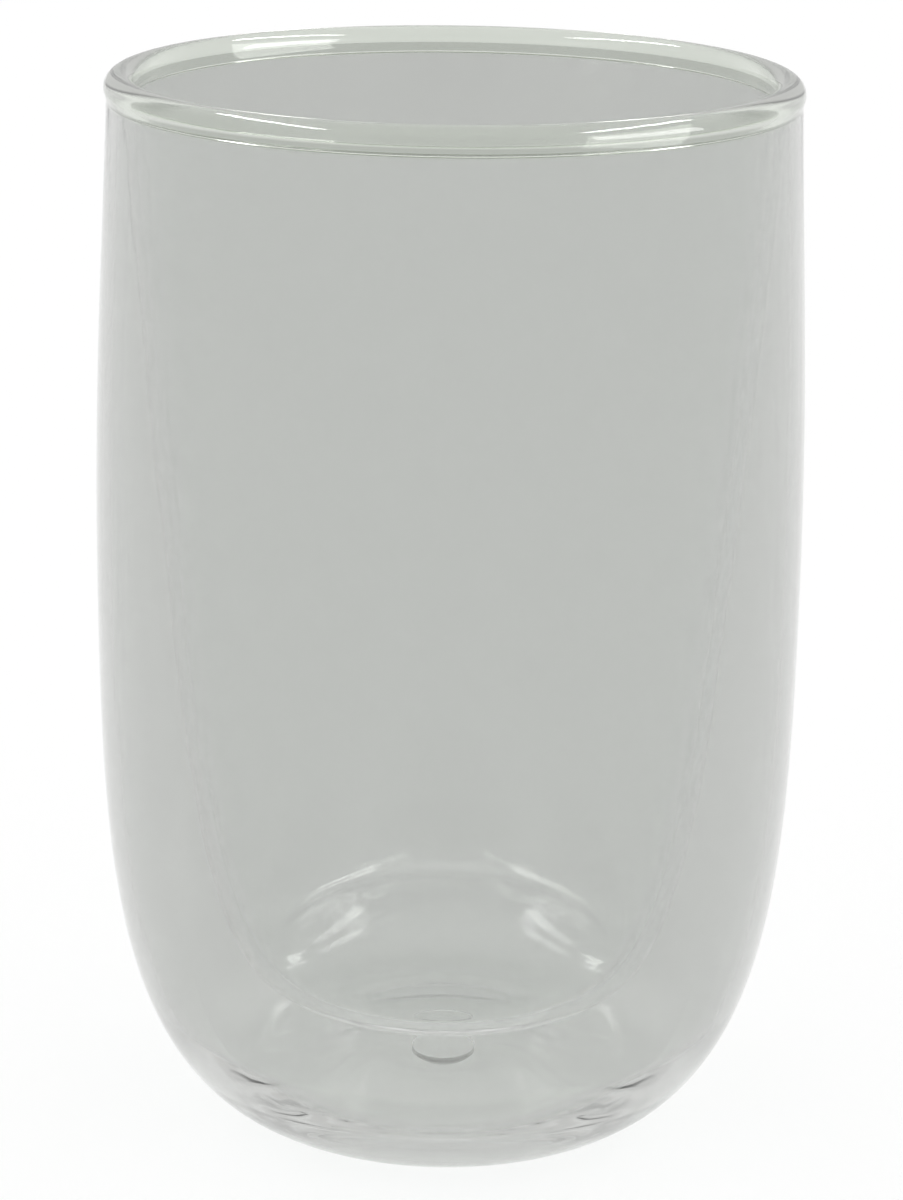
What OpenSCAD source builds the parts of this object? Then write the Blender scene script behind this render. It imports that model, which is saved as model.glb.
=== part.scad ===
// Double-walled drinking glass: an outer shell and an inner cup, fused together in a solid rim.
// Millimetres, +Z up. The origin is on the axis, on the table that the foot ring stands on.
// Every outline is drawn as radius and height, and turned about the axis.

/* [Overall] */
// Height from the table to the crown of the rim
cup_h = 126.5; // [112:0.5:160]
// Outer diameter of the rim
rim_d = 80; // [70:1:96]

/* [Rim] */
// Width of the fused bead, from the mouth to the outside
bead_w = 3.5; // [2.8:0.1:5]
// Depth of solid glass, from the crown to where the two walls part
bead_h = 3.3; // [2.8:0.1:6]
// How far the bead stands proud of the wall below it, inside and outside
bead_proud = 0.25; // [0.1:0.05:0.5]
// Air gap between the two walls where they part
neck_gap = 0.4; // [0.2:0.1:1]

/* [Outer shell] */
// How far the belly stands out beyond the rim, on the radius
belly_swell = 2.05; // [0:0.05:6]
// Height of the widest place of the belly
belly_z = 61.5; // [50:0.5:80]
// How far the knee above the foot is drawn in from the rim, on the radius
knee_inset = 2.6; // [1:0.1:8]
// Height of the knee, where the heel turns up into the wall
knee_z = 14.3; // [10:0.1:20]
// Slope of the heel at the knee, measured from the table, in degrees
knee_angle = 58; // [45:1:75]
// Lean of the wall inwards where it meets the rim, in degrees
neck_lean = 2.7; // [0:0.1:6]
// Thickness of the side wall
outer_wall = 1.8; // [1.2:0.1:2.6]

/* [Base] */
// Outer diameter of the flat ring that the glass stands on
foot_d = 44; // [34:1:52]
// Width of that flat ring
foot_w = 3; // [2:0.5:6]
// Thickness of the glass under the air space
base_t = 3; // [2:0.1:4.5]
// Rise of the hollow under the base
punt_h = 2; // [1.2:0.1:3]
// Diameter of the flat patch in the middle of the hollow
punt_flat_d = 14; // [10:0.5:20]

/* [Inner cup] */
// Height of the underside of the cup above the table
cup_floor_z = 16; // [12:0.5:24]
// Diameter of the flat underside of the cup
cup_floor_d = 43; // [30:1:48]
// Height of the shoulder, where the taper turns towards the floor
shoulder_z = 45; // [38:0.5:56]
// How far the cup has drawn in at the shoulder, on the radius
shoulder_inset = 6.3; // [4:0.1:10]
// Lean of the cup wall at the shoulder, in degrees
shoulder_lean = 7.5; // [4:0.5:12]
// Lean of the cup wall just below the rim, in degrees
mouth_lean = 3.6; // [1:0.1:5]
// Thickness of the cup wall
inner_wall = 1.5; // [1:0.1:2.4]
// Thickness of the cup floor
floor_t = 2; // [1.2:0.1:3.5]

/* [Vent] */
// Diameter of the vent hole through the base
vent_d = 4; // [2.5:0.1:6]
// Diameter of the head of the seal that closes the vent
seal_head_d = 8; // [7:0.1:9.5]
// Thickness of that head
seal_head_t = 0.8; // [0.4:0.1:1]

/* [Hidden] */

$fn = 96;
// Points on each curve of an outline, and on each arc of the rim
curve_points = 12;
arc_points = 14;
// How far a cutter runs past the glass that it cuts
overrun = 1;

rim_r = rim_d / 2;
weld_z = cup_h - bead_h;
bead_r = bead_w / 2;
// The two walls share what the bead is wide, less the air gap
lip_wall = bead_r - bead_proud - neck_gap / 2;
neck_r = rim_r - bead_proud;
mouth_r = rim_r - bead_w + bead_proud;
cup_neck_r = mouth_r + lip_wall;
belly_r = rim_r + belly_swell;
knee_r = rim_r - knee_inset;
shoulder_r = cup_neck_r - shoulder_inset;
foot_r = foot_d / 2;

// Handles of the curves, as shares of the straight distance that each curve spans
punt_shares = [0.4, 0.35];
heel_shares = [0.51, 0.2];
side_shares = [0.13, 0.42];
chest_shares = [0.46, 0.33];
corner_shares = [0.22, 0.22];
taper_shares = [0.2, 0.2];
// Where the bead's round side ends, in degrees below its middle
bead_under = 20;

// A curve from a to b that leaves a at angle_a and reaches b at angle_b, in degrees from the radius
function sweep(a, b, angle_a, angle_b, shares) =
    let (span = norm(b - a),
        c = a + span * shares[0] * [cos(angle_a), sin(angle_a)],
        d = b - span * shares[1] * [cos(angle_b), sin(angle_b)])
    [for (i = [0:curve_points]) let (t = i / curve_points, s = 1 - t)
        s * s * s * a + 3 * s * s * t * c + 3 * s * t * t * d + t * t * t * b];

function arc(centre, radius, from, to) =
    [for (i = [0:arc_points]) let (t = from + (to - from) * i / arc_points)
        centre + radius * [cos(t), sin(t)]];

// A line without its first point, so that two curves join with no point twice
function rest(line) = [for (i = [1:len(line) - 1]) line[i]];

function backwards(line) = [for (i = [len(line) - 1:-1:0]) line[i]];

// The direction square to a line at one of its points, towards the inside of the glass
function inwards(line, i) =
    let (run = line[min(i + 1, len(line) - 1)] - line[max(i - 1, 0)])
    [-run.y, run.x] / norm(run);

// The other face of a wall: its thickness is looked up by height, and its two ends stay
// on the axis and in the plane of the weld
function other_face(line, thickness) =
    [for (i = [0:len(line) - 1])
        let (t = lookup(line[i].y, thickness), moved = line[i] + t * inwards(line, i))
        i == 0 ? line[i] + [0, t] : i == len(line) - 1 ? line[i] - [t, 0] : moved];

outer_face = concat(
    [[0, punt_h]],
    sweep([punt_flat_d / 2, punt_h], [foot_r - foot_w, 0], 0, 0, punt_shares),
    sweep([foot_r, 0], [knee_r, knee_z], 0, knee_angle, heel_shares),
    rest(sweep([knee_r, knee_z], [belly_r, belly_z], knee_angle, 90, side_shares)),
    rest(sweep([belly_r, belly_z], [neck_r, weld_z], 90, 90 + neck_lean, chest_shares)));

cup_face = concat(
    [[0, cup_floor_z]],
    sweep([cup_floor_d / 2, cup_floor_z], [shoulder_r, shoulder_z], 0, 90 - shoulder_lean, corner_shares),
    rest(sweep([shoulder_r, shoulder_z], [cup_neck_r, weld_z], 90 - shoulder_lean, 90 - mouth_lean,
        taper_shares)));

outer_thickness = [[punt_h, base_t], [knee_z, outer_wall], [belly_z, outer_wall], [weld_z, lip_wall]];
cup_thickness = [[cup_floor_z, floor_t], [shoulder_z, inner_wall], [weld_z, lip_wall]];

// A shell of revolution between a face and the face on its other side
module shell(face, thickness) {
    rotate_extrude() polygon(concat(face, backwards(other_face(face, thickness))));
}

// The blown shell that the hand holds, with its foot ring, hollow base and vent hole
module outer_shell() {
    color([0.86, 0.89, 0.87, 0.35])
    difference() {
        shell(outer_face, outer_thickness);
        translate([0, 0, punt_h - overrun])
            cylinder(d = vent_d, h = base_t + 2 * overrun);
    }
}

// The blown cup that holds the drink
module inner_cup() {
    color([0.82, 0.87, 0.85, 0.35])
    shell(cup_face, cup_thickness);
}

// The ring of solid glass where the lips of both shells are melted together
module rim_bead() {
    middle = [rim_r - bead_r, cup_h - bead_r];
    crotch = [cup_neck_r + neck_gap / 2, weld_z];
    color([0.72, 0.79, 0.72, 0.5])
    rotate_extrude()
        polygon(concat(
            [[neck_r, weld_z]],
            arc(middle, bead_r, -bead_under, 180 + bead_under),
            [[mouth_r, weld_z]],
            arc(crotch, neck_gap / 2, 180, 0)));
}

// The clear seal that closes the vent, its head inside the hollow of the base
module vent_plug() {
    color([0.9, 0.91, 0.9, 0.6]) {
        translate([0, 0, punt_h])
            cylinder(d = vent_d, h = base_t);
        translate([0, 0, punt_h - seal_head_t])
            cylinder(d = seal_head_d, h = seal_head_t);
    }
}

outer_shell();
inner_cup();
rim_bead();
vent_plug();
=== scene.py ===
# %% [markdown]
# A double-walled glass
#
# This file dresses one drinking glass: an outer shell, an inner cup, the solid rim where
# the two are melted together, and the small seal under the base. Glass has no colour of
# its own to speak of, so nearly all of its look comes from exact shapes: two faces a
# millimetre or two apart, bending what lies behind them. The construction model gives
# the main sizes. Here each piece is turned again with far more steps, so that the walls
# bend light smoothly.

# %% Load the frame and read the sizes that everything follows
from collections import namedtuple
from math import atan, cos, pi, radians, sin

import bmesh
import bpy
import numpy as np
from mathutils import Matrix, Vector
from mathutils.geometry import interpolate_bezier


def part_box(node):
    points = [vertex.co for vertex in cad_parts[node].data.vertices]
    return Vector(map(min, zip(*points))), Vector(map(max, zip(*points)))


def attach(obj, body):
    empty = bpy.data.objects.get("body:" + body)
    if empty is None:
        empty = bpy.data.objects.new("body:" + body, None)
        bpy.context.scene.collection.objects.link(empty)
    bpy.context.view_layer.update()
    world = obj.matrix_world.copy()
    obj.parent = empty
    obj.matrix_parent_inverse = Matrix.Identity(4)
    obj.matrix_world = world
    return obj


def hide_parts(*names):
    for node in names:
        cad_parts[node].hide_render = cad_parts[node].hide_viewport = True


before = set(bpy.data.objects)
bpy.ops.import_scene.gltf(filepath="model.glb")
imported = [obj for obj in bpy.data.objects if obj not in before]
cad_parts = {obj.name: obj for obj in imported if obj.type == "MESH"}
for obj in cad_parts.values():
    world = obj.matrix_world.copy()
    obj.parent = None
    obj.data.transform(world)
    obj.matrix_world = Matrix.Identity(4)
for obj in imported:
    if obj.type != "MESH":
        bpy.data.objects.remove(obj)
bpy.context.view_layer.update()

MM = 0.001
rim_low, rim_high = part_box("rim_bead")
cup_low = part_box("inner_cup")[0]
seal_low, seal_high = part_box("vent_plug")
rim_radius = rim_high.x
glass_height = rim_high.z
weld_height = rim_low.z
print(f"rim {2 * rim_radius / MM:.1f} mm across, glass {glass_height / MM:.1f} mm tall")

# %% [markdown]
# The camera
#
# It is placed from the outline of the real glass: how round the rim looks gives the
# height of the eye, and how fast the body narrows gives its distance. It looks down a
# little and is turned by less than a degree, because the real one was held by hand.

# %% Put the camera where the photograph was taken
eye_distance = 350.8 * MM
eye_above_rim = 51.4 * MM
looking_down = radians(18.16)
leaning = radians(0.73)
film_width = 36
focal_pixels = 3060
frame_height_pixels = 1200
left_by_pixels = 3.1

camera_data = bpy.data.cameras.new("camera")
camera_data.sensor_width = film_width
camera_data.lens = film_width * focal_pixels / frame_height_pixels
camera = bpy.data.objects.new("camera", camera_data)
bpy.context.collection.objects.link(camera)
eye = Matrix.Translation((0, -eye_distance, glass_height + eye_above_rim))
turn = Matrix.Rotation(-atan(left_by_pixels / focal_pixels), 4, "Z")
tip = Matrix.Rotation(pi / 2 - looking_down, 4, "X")
lean = Matrix.Rotation(leaning, 4, "Z")
camera.matrix_world = eye @ turn @ tip @ lean
bpy.context.scene.camera = camera
print(f"lens {camera_data.lens:.1f} mm")

# %% [markdown]
# Outlines
#
# Blown glass has no straight lines and no corners but the weld. An outline could be
# drawn by hand point by point, but a few curves with named ends and slopes say the same
# and stay smooth at any number of steps. `sweep` is one such curve, given as radius and
# height. Each curve that is named below holds the shares of its two handles and its
# number of steps. `other_face` walks along a face and steps square through the wall to
# the face on the other side, because a blown wall is thick at the foot and thin at the lip.

# %% Curves for the outlines
def along(angle):
    """The direction at an angle, in degrees from the radius."""
    return Vector((cos(radians(angle)), sin(radians(angle))))


def sweep(start, end, angle_start, angle_end, shares, steps):
    """Points (radius, height) from start to end; shares of the distance are its handles."""
    start, end = Vector(start), Vector(end)
    span = (end - start).length
    first_handle = start + span * shares[0] * along(angle_start)
    last_handle = end - span * shares[1] * along(angle_end)
    return [Vector(p) for p in interpolate_bezier(start, first_handle, last_handle, end, steps)]


def arc(centre, radius, from_angle, to_angle, steps):
    """Points on a round stretch, with angles in degrees."""
    angles = [from_angle + (to_angle - from_angle) * i / (steps - 1) for i in range(steps)]
    return [Vector(centre) + radius * along(angle) for angle in angles]


def other_face(line, heights, walls):
    """The far face of a wall whose thickness follows height; its ends stay on axis and weld."""
    def wall(point):
        return float(np.interp(point.y, heights, walls))

    face = []
    for i, point in enumerate(line):
        run = (line[min(i + 1, len(line) - 1)] - line[max(i - 1, 0)]).normalized()
        face.append(point + wall(point) * Vector((-run.y, run.x)))
    face[0] = line[0] + Vector((0, wall(line[0])))
    face[-1] = line[-1] - Vector((wall(line[-1]), 0))
    return face


# %% [markdown]
# Turning an outline
#
# A lathe shape can be made with a Screw modifier or with the spin operator. Spin gives
# the finished mesh at once, but its cost grows with the square of its steps, so a
# quarter is spun and mirrored twice, which gives a fine and evenly divided piece in a
# second. Points on the axis are spun into many copies of one point, so doubles are
# merged afterwards. Where two pieces are one glass, at the weld and round the seal, the
# faces that meet get the second material, and their edges stay sharp. The faces that look
# away from the heart of the glass, its outer skin, get the third.

# %% Spin an outline into a closed piece
QUARTER_STEPS = 80
SAME_PLACE = 0.002 * MM
JOINT_SLOT = 1
SKIN_SLOT = 2


def within(spot, low, high):
    """Whether a spot lies in the rectangle of a joint, or as good as in it."""
    return all(low[i] - SAME_PLACE < spot[i] < high[i] + SAME_PLACE for i in (0, 1))


def turned_piece(name, outline, closed, joints=(), heart=None):
    """A solid of revolution, from an outline that is closed or ends on the axis. Each joint
    is a low and a high (radius, height) with its faces between them. Faces that look away
    from heart, a height on the axis, are its skin."""
    maker = bmesh.new()
    points = [maker.verts.new((p.x, 0, p.y)) for p in outline]
    edges = [maker.edges.new(pair) for pair in zip(points, points[1:] + points[:1] * closed)]
    bmesh.ops.spin(maker, geom=points + edges, cent=(0, 0, 0), axis=(0, 0, 1),
                   angle=pi / 2, steps=QUARTER_STEPS)
    for axis in ("X", "Y"):
        everything = maker.verts[:] + maker.edges[:] + maker.faces[:]
        bmesh.ops.mirror(maker, geom=everything, axis=axis, merge_dist=SAME_PLACE)
    bmesh.ops.remove_doubles(maker, verts=maker.verts, dist=SAME_PLACE)
    bmesh.ops.recalc_face_normals(maker, faces=maker.faces)
    for face in maker.faces:
        face.smooth = True
        middle = face.calc_center_median()
        spot = (middle.xy.length, middle.z)
        if any(within(spot, low, high) for low, high in joints):
            face.material_index = JOINT_SLOT
        elif heart is not None and face.normal.dot(middle - Vector((0, 0, heart))) > 0:
            face.material_index = SKIN_SLOT
    for edge in maker.edges:
        if len({face.material_index == JOINT_SLOT for face in edge.link_faces}) > 1:
            edge.smooth = False
    mesh = bpy.data.meshes.new(name)
    maker.to_mesh(mesh)
    maker.free()
    piece = bpy.data.objects.new(name, mesh)
    bpy.context.collection.objects.link(piece)
    print(name, len(mesh.polygons), "faces")
    return piece


# %% [markdown]
# The rim bead
#
# When both shells are hot, their lips are melted together and the flame draws them into
# one round bead. It is the thickest glass of the piece and works as a ring-shaped lens,
# which is why the real rim shows most of the contrast. It is a little wider than the two
# walls below it, with a round crotch where the air gap ends.

# %% Sizes at the rim
bead_width = 3.5 * MM
bead_proud = 0.25 * MM
neck_gap = 0.4 * MM
bead_radius = bead_width / 2
lip_wall = bead_radius - bead_proud - neck_gap / 2
neck_radius = rim_radius - bead_proud
mouth_radius = rim_radius - bead_width + bead_proud
cup_neck_radius = mouth_radius + lip_wall
neck_lean = 2.7
mouth_lean = 3.6
print(f"each lip is {lip_wall / MM:.2f} mm thick at the weld")

# %% Turn the rim bead
BEAD_STEPS = 56
CROTCH_STEPS = 14
BEAD_SHOULDER = ((0.4, 0.4), 10)
bead_under = 8
bead_middle = (rim_radius - bead_radius, glass_height - bead_radius)
neck = (neck_radius, weld_height)
mouth = (mouth_radius, weld_height)
crotch = (cup_neck_radius + neck_gap / 2, weld_height)
round_of_bead = arc(bead_middle, bead_radius, -bead_under, 180 + bead_under, BEAD_STEPS)
bead_outside = sweep(neck, round_of_bead[0], 90 + neck_lean, 90 - bead_under, *BEAD_SHOULDER)
bead_inside = sweep(round_of_bead[-1], mouth, -90 + bead_under, -90 - mouth_lean, *BEAD_SHOULDER)
gap_end = arc(crotch, neck_gap / 2, 180, 0, CROTCH_STEPS)
bead_outline = bead_outside[:-1] + round_of_bead + bead_inside[1:] + gap_end
cup_weld = (mouth, (cup_neck_radius, weld_height))
shell_weld = ((cup_neck_radius + neck_gap, weld_height), neck)
rim_bead = turned_piece("rim_bead_glass", bead_outline, True, [cup_weld, shell_weld])

# %% [markdown]
# The outer shell
#
# This is the body that the hand holds: a narrow foot ring, a soft heel that turns up
# into a slow belly, and a slight draw-in under the rim. The base is thicker than the
# wall and pushed up in the middle, so that the glass stands on a ring. One outline runs
# round the outside and back along the inside. A tight bend in the heel would draw a line
# across it, so the heel and the side meet low down, where both curves are easy.

# %% Sizes of the outer shell
belly_swell = 2.05 * MM
belly_height = 61.5 * MM
knee_inset = 7.6 * MM
knee_height = 5.2 * MM
knee_angle = 50.5
thinned_at = 14.3 * MM
foot_radius = 22 * MM
foot_width = 3 * MM
punt_flat_radius = 7 * MM
vent_radius = 2 * MM
base_thickness = 3 * MM
outer_wall = 1.8 * MM
punt_rise = seal_high.z - base_thickness
button_radius = seal_high.x
belly = (rim_radius + belly_swell, belly_height)
knee = (rim_radius - knee_inset, knee_height)
print(f"foot {2 * foot_radius / MM:.0f} mm across, belly {2 * belly[0] / MM:.1f} mm across")

# %% Turn the outer shell
PUNT_CURVE = ((0.4, 0.35), 14)
HEEL_CURVE = ((0.419, 0.335), 30)
SIDE_CURVE = ((0.248, 0.417), 50)
CHEST_CURVE = ((0.46, 0.33), 26)
foot_inside = (foot_radius - foot_width, 0)
outer_face = (
    [Vector((vent_radius, punt_rise)), Vector((button_radius, punt_rise))]
    + sweep((punt_flat_radius, punt_rise), foot_inside, 0, 0, *PUNT_CURVE)
    + sweep((foot_radius, 0), knee, 0, knee_angle, *HEEL_CURVE)
    + sweep(knee, belly, knee_angle, 90, *SIDE_CURVE)[1:]
    + sweep(belly, neck, 90, 90 + neck_lean, *CHEST_CURVE)[1:]
)
outer_inside = other_face(
    outer_face,
    (punt_rise, thinned_at, belly_height, weld_height),
    (base_thickness, outer_wall, outer_wall, lip_wall),
)
vent_wall = ((vent_radius, punt_rise), (vent_radius, seal_high.z))
seal_seat = ((vent_radius, punt_rise), (button_radius, punt_rise))
lip_end = ((neck_radius - lip_wall, weld_height), neck)
outer_shell = turned_piece(
    "outer_shell_glass", outer_face + outer_inside[::-1], True,
    [lip_end, vent_wall, seal_seat], heart=belly_height,
)

# %% [markdown]
# The inner cup
#
# The cup hangs in the shell from the rim alone, and nothing touches it below. It tapers
# slowly, turns in at a shoulder and closes with a round corner and a flat floor. Its
# wall is a little thinner than the shell's.

# %% Turn the inner cup
CORNER_CURVE = ((0.22, 0.22), 44)
TAPER_CURVE = ((0.2, 0.2), 24)
shoulder_inset = 6.3 * MM
shoulder_height = 45 * MM
shoulder_lean = 7.5
cup_floor_radius = 21.5 * MM
cup_floor_thickness = 2 * MM
cup_wall = 1.5 * MM
cup_corner = (cup_floor_radius, cup_low.z)
shoulder = (cup_neck_radius - shoulder_inset, shoulder_height)
cup_neck = (cup_neck_radius, weld_height)
cup_face = (
    [Vector((0, cup_low.z))]
    + sweep(cup_corner, shoulder, 0, 90 - shoulder_lean, *CORNER_CURVE)
    + sweep(shoulder, cup_neck, 90 - shoulder_lean, 90 - mouth_lean, *TAPER_CURVE)[1:]
)
cup_inside = other_face(
    cup_face,
    (cup_low.z, shoulder_height, weld_height),
    (cup_floor_thickness, cup_wall, lip_wall),
)
inner_cup = turned_piece("inner_cup_glass", cup_face + cup_inside[::-1], False, [cup_weld])

# %% [markdown]
# The vent seal
#
# Air has to leave the space between the walls while the rim is hot, so the base has a
# small hole, closed later with a clear seal: a shank in the hole and a flat button
# inside the hollow of the base. It could stand in the hole with air round it, and then
# it shows as a white disc, which the real one doesn't. So it touches the glass and is
# clear through, and a round edge on the button is all that shows.

# %% Turn the vent seal
SEAL_EDGE_STEPS = 6
seal_edge = 0.25 * MM
edge_middle = (button_radius - seal_edge, seal_low.z + seal_edge)
seal_outline = [
    Vector((0, seal_low.z)),
    *arc(edge_middle, seal_edge, -90, 0, SEAL_EDGE_STEPS),
    Vector((button_radius, punt_rise)),
    Vector((vent_radius, punt_rise)),
    Vector((vent_radius, seal_high.z)),
    Vector((0, seal_high.z)),
]
vent_seal = turned_piece("vent_seal", seal_outline, False, [vent_wall, seal_seat])

# %% [markdown]
# Helpers for materials
#
# A material is a tree of nodes. Each could be wired by hand in a few lines, and the file
# would be mostly wiring. Small helpers that take numbers or other nodes' outputs alike
# let every formula below be read as one line.

# %% Nodes in one line each
def new_group(name, inputs, outputs):
    """A node group with its sockets, and its input and output nodes."""
    group = bpy.data.node_groups.new(name, "ShaderNodeTree")
    for label, kind, value in inputs:
        socket = group.interface.new_socket(label, in_out="INPUT", socket_type=kind)
        socket.default_value = value
    for label, kind in outputs:
        group.interface.new_socket(label, in_out="OUTPUT", socket_type=kind)
    return group, group.nodes.new("NodeGroupInput"), group.nodes.new("NodeGroupOutput")


def feed(tree, socket, value):
    """Give a socket another node's output, or a constant of its own."""
    if isinstance(value, bpy.types.NodeSocket):
        tree.links.new(value, socket)
    else:
        socket.default_value = value


def add(tree, kind, inputs=None, **settings):
    """A node with its settings and with what feeds its named inputs."""
    node = tree.nodes.new(kind)
    for key, value in settings.items():
        setattr(node, key, value)
    for label, value in (inputs or {}).items():
        feed(tree, node.inputs[label], value)
    return node


def maths(tree, operation, *terms):
    """The result of a Math node."""
    node = add(tree, "ShaderNodeMath", operation=operation)
    for socket, term in zip(node.inputs, terms):
        feed(tree, socket, term)
    return node.outputs["Value"]


def vector_maths(tree, operation, *terms):
    """The result of a Vector Math node, a number for a dot product."""
    node = add(tree, "ShaderNodeVectorMath", operation=operation)
    for socket, term in zip(node.inputs, terms):
        feed(tree, socket, term)
    return node.outputs["Value" if operation == "DOT_PRODUCT" else "Vector"]


def ramp(tree, value, low, high, at_low=0, at_high=1):
    """A soft step from at_low to at_high while value goes from low to high."""
    limits = {"From Min": low, "From Max": high, "To Min": at_low, "To Max": at_high}
    node = add(tree, "ShaderNodeMapRange", limits, interpolation_type="SMOOTHSTEP")
    tree.links.new(value, node.inputs["Value"])
    return node.outputs["Result"]


def mixed(tree, factor, colour, other):
    """A colour that goes over into another one as factor goes from 0 to 1."""
    node = add(tree, "ShaderNodeMix", data_type="RGBA")
    for label, value in (("Factor", factor), ("A", colour), ("B", other)):
        feed(tree, node.inputs[label], value)
    return node.outputs["Result"]


# %% [markdown]
# The surface of drawn glass
#
# What keeps clear glass from looking computed is small: the pull of the tube leaves
# faint upright ripples, and handling leaves a film that scatters a little light. Both
# are made once, as a node group, and given to each glass with its own strength. The
# ripples die out towards the base, where a mould has pressed the glass and where they
# would be seen many times over in the thick glass.

# %% A node group for drawn and handled glass
CALM_BELOW = 14 * MM
DRAWN_ABOVE = 60 * MM
ROUND_THE_AXIS = (1, 1, 0)
RIPPLE_CLIMB = (0, 0, 3)
RIPPLES = {"Detail": 2.0, "Roughness": 0.5}
SMEARS = {"Scale": 55.0, "Detail": 5.0, "Roughness": 0.6}
FILM_FROM = 0.42
FILM_TO = 0.75
surface, asked, given = new_group(
    "drawn_glass_surface",
    [("Ripple Scale", "NodeSocketFloat", 9.0), ("Film", "NodeSocketFloat", 0.02)],
    [("Roughness", "NodeSocketFloat"), ("Height", "NodeSocketFloat")],
)
place = add(surface, "ShaderNodeTexCoord").outputs["Object"]
height = add(surface, "ShaderNodeSeparateXYZ", {"Vector": place}).outputs["Z"]
from_axis = vector_maths(surface, "MULTIPLY", place, ROUND_THE_AXIS)
direction = vector_maths(surface, "NORMALIZE", from_axis)
climb = vector_maths(surface, "MULTIPLY", place, RIPPLE_CLIMB)
drawn_along = vector_maths(surface, "ADD", direction, climb)
ripple = add(surface, "ShaderNodeTexNoise", RIPPLES)
feed(surface, ripple.inputs["Vector"], drawn_along)
feed(surface, ripple.inputs["Scale"], asked.outputs["Ripple Scale"])
smear = add(surface, "ShaderNodeTexNoise", {"Vector": place, **SMEARS})
film_limits = {"From Min": FILM_FROM, "From Max": FILM_TO, "To Max": asked.outputs["Film"]}
film = add(surface, "ShaderNodeMapRange", {"Value": smear.outputs["Fac"], **film_limits})
calm = ramp(surface, height, CALM_BELOW, DRAWN_ABOVE)
feed(surface, given.inputs["Roughness"], film.outputs["Result"])
feed(surface, given.inputs["Height"], maths(surface, "MULTIPLY", ripple.outputs["Fac"], calm))
print(surface.name, len(surface.nodes), "nodes")

# %% [markdown]
# Where the glass takes its painted grey
#
# Clear glass is one Principled shader with full transmission and the index of
# borosilicate. In an even room such glass all but vanishes. The real one was seen before
# an even grey, and stands on white only because that grey was cut away round it. A grey
# room would give the glass that grey and spoil the white, and a tint on every face would
# make the mouth lighter than the body and the corners black. So the grey of that
# backdrop is painted into the glass as a shade: light takes it once, when it leaves
# through the outer skin of the glass, and every way through the glass comes out alike.
# Light on its way to the floor takes none. The bead is one solid with a side to the drink
# and a side to the room, so it takes its painted grey on the outer side alone, and all
# round in its lowest millimetre, where it passes into the lips. The renderer counts the
# steps of light in whole numbers, so a limit lies half a step on.

# %% The painted grey of light that leaves through a skin
Skin = namedtuple("Skin", "low high climb facing")
NEAR_CLEAR = (0.985, 0.99, 0.986)
NECK_FADE = (0.9 * MM, 1.1 * MM)
HALF_A_STEP = 0.5


def painted_grey_on_leaving(tree, clear, skin, place, height, journey):
    """Clear for light that comes in. For light that leaves, a painted grey: the skin's low
    colour, which climbs to its high one. With a facing, faces towards the axis stay clear above
    the neck."""
    geometry = add(tree, "ShaderNodeNewGeometry")
    leaving = mixed(tree, ramp(tree, height, *skin.climb), (*skin.low, 1), (*skin.high, 1))
    unscattered = maths(tree, "LESS_THAN", journey.outputs["Diffuse Depth"], HALF_A_STEP)
    leaves = maths(tree, "MULTIPLY", geometry.outputs["Backfacing"], unscattered)
    if skin.facing:
        flat = vector_maths(tree, "MULTIPLY", place, ROUND_THE_AXIS)
        outward = vector_maths(tree, "NORMALIZE", flat)
        facing = vector_maths(tree, "DOT_PRODUCT", geometry.outputs["Normal"], outward)
        outside = ramp(tree, facing, *skin.facing, 1, 0)
        neck_top = [weld_height + rise for rise in NECK_FADE]
        whole_neck = ramp(tree, height, *neck_top, 1, 0)
        leaves = maths(tree, "MULTIPLY", leaves, maths(tree, "MAXIMUM", whole_neck, outside))
    return mixed(tree, leaves, (*clear, 1), leaving)


# %% [markdown]
# Light that is caught
# Some light runs on between the two faces of a wall for longer than the renderer follows
# it, and would be lost as black marks in the heel. More steps would only cost time. At
# the last step the glass glows with the grey of the rest instead, a painted glow that
# stands in for that light, less and less towards the rim, where the real glass is
# darkest. Nothing else in the glass shines, so it is kept from being sampled as a lamp.

# %% The glow of the last step
FOLLOWED = 32
# Painted glow: the grey that the glass gives off at the last step, in place of light that is no
# longer followed.
CAUGHT_GLOW_GREY = (0.5, 0.505, 0.49)
CAUGHT_FADE = (85 * MM, 120 * MM)
LEFT_AT_THE_RIM = 0
BLACK = (0, 0, 0, 1)


def painted_glow_at_last_step(tree, height, journey):
    """Black, but a painted grey glow at the last step that is followed."""
    last = maths(tree, "GREATER_THAN", journey.outputs["Ray Depth"], FOLLOWED + HALF_A_STEP)
    fade = ramp(tree, height, *CAUGHT_FADE, 1, LEFT_AT_THE_RIM)
    return mixed(tree, maths(tree, "MULTIPLY", last, fade), BLACK, (*CAUGHT_GLOW_GREY, 1))


# %% [markdown]
# The glass itself
#
# The shells, the skin, the bead and the seal are one kind of glass with their own
# values, so one function makes them all. The seal's side stays clear, because light that
# leaves it meets the foot ring next and takes the painted grey there. The fused joints are
# faces inside solid glass, which can't be seen, so their material has an alpha of nothing.

# %% Glass with its ripples, film and colours
BOROSILICATE = 1.47


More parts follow.
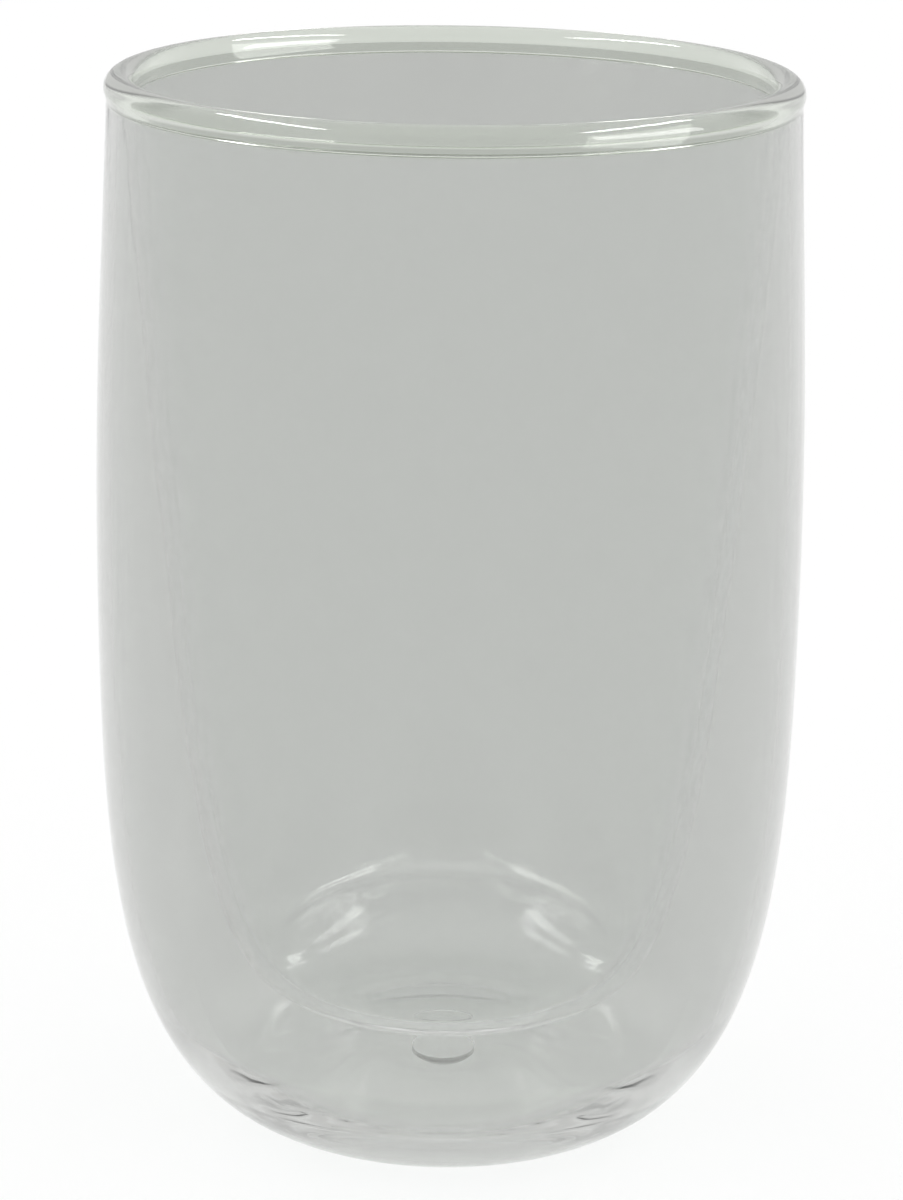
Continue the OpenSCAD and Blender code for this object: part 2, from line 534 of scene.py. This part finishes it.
def glass(name, clear, ripple_scale, ripple_depth, film_strength, skin=None):
    """Clear glass, with a skin where light takes a painted grey as it leaves."""
    material = bpy.data.materials.new(name)
    material.use_nodes = True
    material.cycles.emission_sampling = "NONE"
    tree = material.node_tree
    shader = tree.nodes["Principled BSDF"]
    shader.inputs["Base Color"].default_value = (*clear, 1)
    shader.inputs["Transmission Weight"].default_value = 1
    shader.inputs["IOR"].default_value = BOROSILICATE
    shader.inputs["Emission Strength"].default_value = 1
    journey = add(tree, "ShaderNodeLightPath")
    place = add(tree, "ShaderNodeTexCoord").outputs["Object"]
    height = add(tree, "ShaderNodeSeparateXYZ", {"Vector": place}).outputs["Z"]
    feed(tree, shader.inputs["Emission Color"], painted_glow_at_last_step(tree, height, journey))
    drawn = add(tree, "ShaderNodeGroup", node_tree=surface)
    drawn.inputs["Ripple Scale"].default_value = ripple_scale
    drawn.inputs["Film"].default_value = film_strength
    relief = {"Height": drawn.outputs["Height"], "Distance": ripple_depth, "Strength": 1}
    bump = add(tree, "ShaderNodeBump", relief)
    feed(tree, shader.inputs["Roughness"], drawn.outputs["Roughness"])
    feed(tree, shader.inputs["Normal"], bump.outputs["Normal"])
    if skin is not None:
        tint = painted_grey_on_leaving(tree, clear, skin, place, height, journey)
        feed(tree, shader.inputs["Base Color"], tint)
    print(name, len(tree.nodes), "nodes")
    return material


# %% Make each glass and the fused joint
# The three greys below are painted shade: the grey of the backdrop seen through clear glass,
# taken by light that leaves the skin. The base grey is lighter, towards the foot. The rim's grey
# is painted shade too, and its green is partly the glass's own.
SHELL_PAINTED_GREY = (0.262, 0.269, 0.254)
BASE_PAINTED_GREY = (0.3, 0.307, 0.29)
RIM_PAINTED_GREY_GREEN = (0.42, 0.45, 0.4)
RIM_CLEAR = (0.95, 0.98, 0.925)
RIPPLE = 0.025 * MM
SHELL_RIPPLES = 7.0
CUP_RIPPLES = 6.0
THICK_RIPPLES = 5.0
FILM = 0.03
RIM_FILM = 0.02
RIM_FACING = (0.35, 0.7)
FOOT_CLIMB = (1.5 * MM, 7 * MM)
SEAL_CLIMB = (seal_low.z + 0.02 * MM, seal_low.z + 0.22 * MM)
shell_skin = Skin(BASE_PAINTED_GREY, SHELL_PAINTED_GREY, FOOT_CLIMB, facing=None)
rim_skin = Skin(RIM_PAINTED_GREY_GREEN, RIM_PAINTED_GREY_GREEN, FOOT_CLIMB, RIM_FACING)
seal_skin = Skin(BASE_PAINTED_GREY, NEAR_CLEAR, SEAL_CLIMB, facing=None)
shell_glass = glass("shell_glass", NEAR_CLEAR, SHELL_RIPPLES, RIPPLE, FILM)
outer_skin = glass("outer_skin", NEAR_CLEAR, SHELL_RIPPLES, RIPPLE, FILM, shell_skin)
cup_glass = glass("cup_glass", NEAR_CLEAR, CUP_RIPPLES, RIPPLE, FILM)
rim_glass = glass("rim_glass", RIM_CLEAR, THICK_RIPPLES, RIPPLE, RIM_FILM, rim_skin)
clear_seal = glass("clear_seal", NEAR_CLEAR, THICK_RIPPLES, 0, FILM, seal_skin)

fused_joint = bpy.data.materials.new("fused_joint")
fused_joint.use_nodes = True
fused_joint.node_tree.nodes["Principled BSDF"].inputs["Alpha"].default_value = 0

for piece, finishes in (
    (outer_shell, (shell_glass, fused_joint, outer_skin)),
    (inner_cup, (cup_glass, fused_joint)),
    (rim_bead, (rim_glass, fused_joint)),
    (vent_seal, (clear_seal, fused_joint)),
):
    for finish in finishes:
        piece.data.materials.append(finish)
    print(piece.name, "is made of", ", ".join(finish.name for finish in finishes))

# %% [markdown]
# The floor
#
# The glass stands on a white sheet, as in a studio. It lies a hair below the foot, so
# that the two faces don't fight, and it has no gloss, because a sheet of paper shows no
# mirror image of the glass.

# %% Lay the floor
floor_size = 8.0
floor_drop = 0.3 * MM
PAPER_WHITE = (0.98, 0.98, 0.98, 1)
floor_maker = bmesh.new()
bmesh.ops.create_grid(floor_maker, x_segments=1, y_segments=1, size=floor_size / 2)
bmesh.ops.translate(floor_maker, verts=floor_maker.verts, vec=(0, 0, -floor_drop))
floor_mesh = bpy.data.meshes.new("floor")
floor_maker.to_mesh(floor_mesh)
floor_maker.free()
floor = bpy.data.objects.new("floor", floor_mesh)
bpy.context.collection.objects.link(floor)
paper = bpy.data.materials.new("white_sheet")
paper.use_nodes = True
paper_shader = paper.node_tree.nodes["Principled BSDF"]
paper_shader.inputs["Base Color"].default_value = PAPER_WHITE
paper_shader.inputs["Roughness"].default_value = 1
paper_shader.inputs["Specular IOR Level"].default_value = 0
floor_mesh.materials.append(paper)
print(f"floor {floor_size:.0f} m wide")

# %% [markdown]
# The room
#
# Glass shows what stands round it. The room is white and even, so clear glass throws no
# dark shadow. The far wall, the two side walls and the place behind the eye are darker,
# and they draw the thin dark lines at the rim and keep the edges of the body from
# fading into the white. Each is a soft patch round a direction, because the picture of a
# wall with a hard edge would be seen bent in the glass.

# %% Walls of the room
ROOM_WHITE = 1.11
BEHIND_THE_EYE = Vector((0, -0.95, 0.31)).normalized()
BEHIND_TONE = 0.78
BEHIND_SPREAD = (0.7, 0.95)
FAR_WALL = (0, 0.985, 0.17)
FAR_TONE = 0.62
FAR_SPREAD = (0.8, 0.93)
SIDE_TONE = 0.7
SIDE_SPREAD = (0.7, 0.95)

world = bpy.data.worlds.new("room")
bpy.context.scene.world = world
world.use_nodes = True
room = world.node_tree
heading = add(room, "ShaderNodeTexCoord").outputs["Generated"]
towards_the_eye = vector_maths(room, "DOT_PRODUCT", heading, BEHIND_THE_EYE)
near_wall = ramp(room, towards_the_eye, *BEHIND_SPREAD, ROOM_WHITE, BEHIND_TONE)
away_from_the_eye = vector_maths(room, "DOT_PRODUCT", heading, FAR_WALL)
far_wall = ramp(room, away_from_the_eye, *FAR_SPREAD, 1, FAR_TONE)
sideways = add(room, "ShaderNodeSeparateXYZ", {"Vector": heading}).outputs["X"]
side_walls = ramp(room, maths(room, "ABSOLUTE", sideways), *SIDE_SPREAD, 1, SIDE_TONE)
walls = maths(room, "MULTIPLY", maths(room, "MULTIPLY", near_wall, far_wall), side_walls)
print("room", len(room.nodes), "nodes for the walls")

# %% [markdown]
# White glints
#
# Two long strips overhead and a window at the right draw the white glints. Lamps would
# do that too, but they would light the floor and leave bright rings there. Here strips
# and window are part of the room: rectangles in front of one direction, with soft edges.
# One node group makes the mask of such a panel, in steps of the distance along the
# direction that it faces.

# %% A node group for a bright panel in the room
LEAST_DEPTH = 0.001
IN_FRONT = 0.01
panel, panel_in, panel_out = new_group(
    "bright_panel",
    [("Facing", "NodeSocketVector", (0, 0, 1)), ("Across", "NodeSocketVector", (1, 0, 0)),
     ("Along", "NodeSocketVector", (0, 1, 0)), ("Centre X", "NodeSocketFloat", 0.0),
     ("Centre Y", "NodeSocketFloat", 0.0), ("Half Width", "NodeSocketFloat", 0.2),
     ("Half Height", "NodeSocketFloat", 0.1), ("Softness", "NodeSocketFloat", 0.02)],
    [("Mask", "NodeSocketFloat")],
)
asked_of_panel = panel_in.outputs
looking = add(panel, "ShaderNodeTexCoord").outputs["Generated"]
depth = vector_maths(panel, "DOT_PRODUCT", looking, asked_of_panel["Facing"])
ahead = maths(panel, "MAXIMUM", depth, LEAST_DEPTH)
mask = maths(panel, "GREATER_THAN", depth, IN_FRONT)
SIDES = (("Across", "Centre X", "Half Width"), ("Along", "Centre Y", "Half Height"))
for axis, centre, half in SIDES:
    off = vector_maths(panel, "DOT_PRODUCT", looking, asked_of_panel[axis])
    spot = maths(panel, "DIVIDE", off, ahead)
    away = maths(panel, "ABSOLUTE", maths(panel, "SUBTRACT", spot, asked_of_panel[centre]))
    outer_edge = maths(panel, "ADD", asked_of_panel[half], asked_of_panel["Softness"])
    edge = ramp(panel, away, asked_of_panel[half], outer_edge, 1, 0)
    mask = maths(panel, "MULTIPLY", mask, edge)
feed(panel, panel_out.inputs["Mask"], mask)
print(panel.name, len(panel.nodes), "nodes")

# %% Hang the strips and the window
STRIP_X = 0.66
STRIP_HALF_WIDTH = 0.05
STRIP_FROM = -0.4
STRIP_TO = 0.6
STRIP_GLOW = 22.0
WINDOW_AROUND = radians(-24)
WINDOW_HALF_WIDTH = 0.36
WINDOW_LOW = 0.05
WINDOW_HIGH = 0.45
WINDOW_GLOW = 6.0


def bright_panel(facing, across, along, centre, half_size):
    """The mask of one panel in the room."""
    shape = {
        "Facing": facing, "Across": across, "Along": along,
        "Centre X": centre[0], "Centre Y": centre[1],
        "Half Width": half_size[0], "Half Height": half_size[1],
    }
    node = add(room, "ShaderNodeGroup", node_tree=panel)
    for label, value in shape.items():
        node.inputs[label].default_value = value
    return node.outputs["Mask"]


strip_middle = (STRIP_FROM + STRIP_TO) / 2
strip_half_size = (STRIP_HALF_WIDTH, (STRIP_TO - STRIP_FROM) / 2)
strips = [
    bright_panel((0, 0, 1), (1, 0, 0), (0, 1, 0), (side_x, strip_middle), strip_half_size)
    for side_x in (-STRIP_X, STRIP_X)
]
window = bright_panel(
    (cos(WINDOW_AROUND), sin(WINDOW_AROUND), 0),
    (-sin(WINDOW_AROUND), cos(WINDOW_AROUND), 0),
    (0, 0, 1),
    (0, (WINDOW_LOW + WINDOW_HIGH) / 2),
    (WINDOW_HALF_WIDTH, (WINDOW_HIGH - WINDOW_LOW) / 2),
)
print(len(strips), "strips and a window")

# %% [markdown]
# Who sees the glints
#
# Strips and window are seen only by light that has met the glass, and not by the floor.
# In the calm glass of the foot a panel would be mirrored over and over, as a bright knot
# that the real glass doesn't show. So light that has been mirrored more than twice sees
# neither, and the window is hidden as well from light that has passed more than four
# faces of glass.

# %% Join walls and glints
MIRRORED_AT_MOST = 2
PASSED_AT_MOST = 4
path = add(room, "ShaderNodeLightPath").outputs
passed_little = maths(room, "LESS_THAN", path["Transmission Depth"], PASSED_AT_MOST + HALF_A_STEP)
window_seen = maths(room, "MULTIPLY", window, passed_little)
glints = maths(room, "MULTIPLY", strips[0], STRIP_GLOW)
glints = maths(room, "MULTIPLY_ADD", strips[1], STRIP_GLOW, glints)
glints = maths(room, "MULTIPLY_ADD", window_seen, WINDOW_GLOW, glints)
in_glass = maths(room, "MAXIMUM", path["Is Glossy Ray"], path["Is Transmission Ray"])
unscattered = maths(room, "LESS_THAN", path["Diffuse Depth"], HALF_A_STEP)
mirrored_little = maths(room, "LESS_THAN", path["Glossy Depth"], MIRRORED_AT_MOST + HALF_A_STEP)
direct = maths(room, "MULTIPLY", unscattered, mirrored_little)
shown = maths(room, "MULTIPLY", in_glass, direct)
level = maths(room, "MULTIPLY_ADD", glints, shown, walls)
feed(room, room.nodes["Background"].inputs["Color"], level)
print("room", len(room.nodes), "nodes in all")

# %% [markdown]
# Everything rides on the one body
#
# Nothing on this glass moves, so each piece rides on the root and stands for its node
# of the construction model.

# %% Hand the pieces to the frame
for piece, node, record_slot in (
    (outer_shell, "outer_shell", "shell_glass"),
    (inner_cup, "inner_cup", "cup_glass"),
    (rim_bead, "rim_bead", "rim_glass"),
    (vent_seal, "vent_plug", "clear_seal"),
):
    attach(piece, "root")
    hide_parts(node)
    print(piece.name, "stands for", node)

# %% [markdown]
# Settings
#
# Glass needs many steps of light before it is clear, so their limits are raised as far
# as the last step in the glass says.

# %% Follow light far enough
scene = bpy.context.scene
scene.view_settings.view_transform = "Standard"
scene.cycles.max_bounces = FOLLOWED
scene.cycles.glossy_bounces = FOLLOWED
scene.cycles.transmission_bounces = FOLLOWED
scene.cycles.diffuse_bounces = 8
scene.cycles.transparent_max_bounces = 16
scene.cycles.blur_glossy = 0
